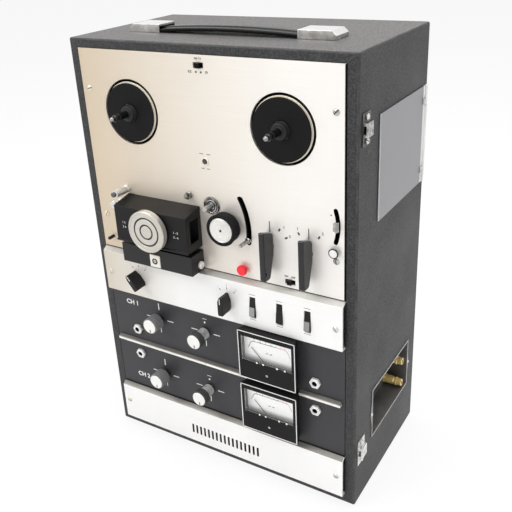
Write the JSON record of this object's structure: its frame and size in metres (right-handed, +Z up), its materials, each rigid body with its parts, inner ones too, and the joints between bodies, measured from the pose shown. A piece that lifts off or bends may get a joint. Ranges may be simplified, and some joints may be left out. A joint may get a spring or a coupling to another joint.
{
  "type": "reel-to-reel tape recorder",
  "caption": "Upright reel-to-reel tape recorder with turning reel tables, capstan drive, finger levers, level knobs, meters with needles, side flaps and a pull-off head cover.",
  "frame": {"origin": "centre of the bounding box, on the plane the feet stand on", "axes": "+Z up, front with the reels faces -Y, +X to the right seen from the front"},
  "size_m": [0.355, 0.2276, 0.529],
  "materials": {
    "vinyl_board": "dark grey grained vinyl over board",
    "hardboard": "plain brown board",
    "rubber": "matt",
    "strap": "black, slightly shiny",
    "chrome": "bright",
    "nickel": "nickel plated",
    "deck_alloy": "brushed",
    "champagne": "satin",
    "black_paint": "satin black",
    "grey_paint": "satin grey",
    "black_plastic": "satin",
    "gloss_black": "glossy",
    "knob_grey": "fluted, with a bright cap",
    "red_plastic": "glossy",
    "lamp_lens": "translucent",
    "gold": "gold plated",
    "window": "clear",
    "needle_paint": "thin",
    "head_metal": "polished",
    "circuit": "board with cans and fins",
    "iron": "laminated"
  },
  "bodies": {
    "base": {"cabinet_shell": "vinyl_board", "rear_panel": "hardboard", "rubber_feet": "rubber", "handle_caps": "chrome", "handle_strap": "strap", "side_fittings": "nickel", "speakers": "black_paint", "jack_bay": "nickel", "rca_jacks": "gold", "deck_plate": "deck_alloy", "panel_screws": "chrome", "deck_chassis": "nickel", "drive_motor": "black_paint", "drive_belt": "rubber", "head_base": "black_plastic", "tape_heads": "head_metal", "tape_guides": "chrome", "pilot_lamp": "lamp_lens", "control_strip": "deck_alloy", "switch_bodies": "black_plastic", "amp_panel": "black_paint", "divider_bar": "champagne", "lower_panel": "deck_alloy", "phone_jacks": "nickel", "meter_housings": "gloss_black", "meter_windows": "window", "amplifier_unit": "circuit", "power_transformer": "iron", "mains_inlet": "black_plastic"},
    "supply_reel": {"supply_turntable": "deck_alloy", "supply_mat": "rubber"},
    "takeup_reel": {"takeup_turntable": "deck_alloy", "takeup_mat": "rubber"},
    "capstan": {"capstan_flywheel": "nickel"},
    "pulley": {"motor_pulley": "gold"},
    "pinch_arm": {"pinch_arm": "nickel"},
    "pinch_roller": {"pinch_roller": "rubber"},
    "shut_off_arm": {"shut_off_arm": "nickel"},
    "play_lever": {"play_lever": "gloss_black"},
    "wind_lever": {"wind_lever": "gloss_black"},
    "pause_lever": {"pause_lever": "nickel"},
    "start_button": {"start_button": "chrome"},
    "record_button": {"record_button": "red_plastic"},
    "speed_slider": {"speed_slider": "black_plastic"},
    "shut_off_slider": {"shut_off_slider": "black_plastic"},
    "head_cover": {"head_cover": "black_plastic", "head_badge": "chrome"},
    "source_knob": {"source_knob": "gloss_black"},
    "mode_knob": {"mode_knob": "gloss_black"},
    "rocker_left": {"rocker_left": "black_plastic"},
    "rocker_middle": {"rocker_middle": "black_plastic"},
    "rocker_right": {"rocker_right": "black_plastic"},
    "mic_knob_upper": {"mic_knob_upper": "knob_grey"},
    "mic_knob_lower": {"mic_knob_lower": "knob_grey"},
    "line_knob_upper": {"line_knob_upper": "knob_grey"},
    "line_knob_lower": {"line_knob_lower": "knob_grey"},
    "needle_upper": {"needle_upper": "needle_paint"},
    "needle_lower": {"needle_lower": "needle_paint"},
    "flap_right": {"flap_right": "grey_paint"},
    "flap_left": {"flap_left": "grey_paint"}
  },
  "joints": [
    {"name": "supply_spin", "type": "hinge", "parent": "base", "child": "supply_reel", "pos_m": [-0.0937, -0.07625, 0.443], "axis": [0, -1, 0], "continuous": true},
    {"name": "takeup_spin", "type": "hinge", "parent": "base", "child": "takeup_reel", "pos_m": [0.0937, -0.07625, 0.443], "axis": [0, -1, 0], "continuous": true},
    {"name": "capstan_spin", "type": "hinge", "parent": "base", "child": "capstan", "pos_m": [0.0043, -0.07625, 0.35], "axis": [0, -1, 0], "continuous": true},
    {"name": "pulley_spin", "type": "hinge", "parent": "base", "child": "pulley", "pos_m": [-0.062, -0.03175, 0.2923], "axis": [0, -1, 0], "continuous": true},
    {"name": "play_turn", "type": "hinge", "parent": "base", "child": "play_lever", "pos_m": [0.075, -0.07625, 0.3167], "axis": [0, 1, 0], "range_deg": [0, 60]},
    {"name": "pinch_swing", "type": "hinge", "parent": "base", "child": "pinch_arm", "pos_m": [-0.00092, -0.07625, 0.30128], "axis": [0, -1, 0], "range_deg": [0, 11.48]},
    {"name": "roller_spin", "type": "hinge", "parent": "pinch_arm", "child": "pinch_roller", "pos_m": [0.02553, -0.07625, 0.33128], "axis": [0, -1, 0], "continuous": true},
    {"name": "shut_off_swing", "type": "hinge", "parent": "base", "child": "shut_off_arm", "pos_m": [-0.032, -0.07625, 0.3263], "axis": [0, -1, 0], "range_deg": [0, 31]},
    {"name": "wind_turn", "type": "hinge", "parent": "base", "child": "wind_lever", "pos_m": [0.1202, -0.07625, 0.3167], "axis": [0, 1, 0], "range_deg": [-30, 30]},
    {"name": "pause_swing", "type": "hinge", "parent": "base", "child": "pause_lever", "pos_m": [0.0975, -0.07625, 0.3513], "axis": [0, -1, 0], "range_deg": [-13, 13]},
    {"name": "start_push", "type": "slide", "parent": "base", "child": "start_button", "axis": [0, 1, 0], "range_m": [0, 0.003], "stiffness_N_per_m": 120},
    {"name": "record_push", "type": "slide", "parent": "base", "child": "record_button", "axis": [0, 1, 0], "range_m": [0, 0.003], "stiffness_N_per_m": 120},
    {"name": "speed_slide", "type": "slide", "parent": "base", "child": "speed_slider", "axis": [1, 0, 0], "range_m": [-0.003, 0.003]},
    {"name": "shut_off_slide", "type": "slide", "parent": "base", "child": "shut_off_slider", "axis": [1, 0, 0], "range_m": [-0.003, 0.003]},
    {"name": "cover_pull", "type": "slide", "parent": "base", "child": "head_cover", "axis": [0, -1, 0], "range_m": [0, 0.032]},
    {"name": "source_turn", "type": "hinge", "parent": "base", "child": "source_knob", "pos_m": [-0.1065, -0.08325, 0.239], "axis": [0, 1, 0], "range_deg": [0, 74]},
    {"name": "mode_turn", "type": "hinge", "parent": "base", "child": "mode_knob", "pos_m": [0.02, -0.08325, 0.239], "axis": [0, 1, 0], "range_deg": [-37, 37]},
    {"name": "rocker_left_tip", "type": "hinge", "parent": "base", "child": "rocker_left", "pos_m": [0.0526, -0.07925, 0.239], "axis": [1, 0, 0], "range_deg": [0, 24]},
    {"name": "rocker_middle_tip", "type": "hinge", "parent": "base", "child": "rocker_middle", "pos_m": [0.0862, -0.07925, 0.239], "axis": [1, 0, 0], "range_deg": [0, 24]},
    {"name": "rocker_right_tip", "type": "hinge", "parent": "base", "child": "rocker_right", "pos_m": [0.1198, -0.07925, 0.239], "axis": [1, 0, 0], "range_deg": [0, 24]},
    {"name": "mic_upper_turn", "type": "hinge", "parent": "base", "child": "mic_knob_upper", "pos_m": [-0.088, -0.07625, 0.1835], "axis": [0, 1, 0], "range_deg": [0, 300]},
    {"name": "mic_lower_turn", "type": "hinge", "parent": "base", "child": "mic_knob_lower", "pos_m": [-0.088, -0.07625, 0.1028], "axis": [0, 1, 0], "range_deg": [0, 300]},
    {"name": "line_upper_turn", "type": "hinge", "parent": "base", "child": "line_knob_upper", "pos_m": [-0.02, -0.07625, 0.1835], "axis": [0, 1, 0], "range_deg": [0, 300]},
    {"name": "line_lower_turn", "type": "hinge", "parent": "base", "child": "line_knob_lower", "pos_m": [-0.02, -0.07625, 0.1028], "axis": [0, 1, 0], "range_deg": [0, 300]},
    {"name": "needle_upper_swing", "type": "hinge", "parent": "base", "child": "needle_upper", "pos_m": [0.0719, -0.08225, 0.16555], "axis": [0, 1, 0], "range_deg": [0, 88]},
    {"name": "needle_lower_swing", "type": "hinge", "parent": "base", "child": "needle_lower", "pos_m": [0.0719, -0.08225, 0.09375], "axis": [0, 1, 0], "range_deg": [0, 88]},
    {"name": "flap_right_open", "type": "hinge", "parent": "base", "child": "flap_right", "pos_m": [0.1745, 0.10475, 0.342], "axis": [0, 0, 1], "range_deg": [0, 75]},
    {"name": "flap_left_open", "type": "hinge", "parent": "base", "child": "flap_left", "pos_m": [-0.1745, 0.10475, 0.342], "axis": [0, 0, -1], "range_deg": [0, 75]}
  ],
  "couplings": [
    {"joint": "pulley_spin", "follows": "capstan_spin", "ratio": 4.75},
    {"joint": "pinch_swing", "follows": "play_turn", "ratio": 0.1913}
  ]
}
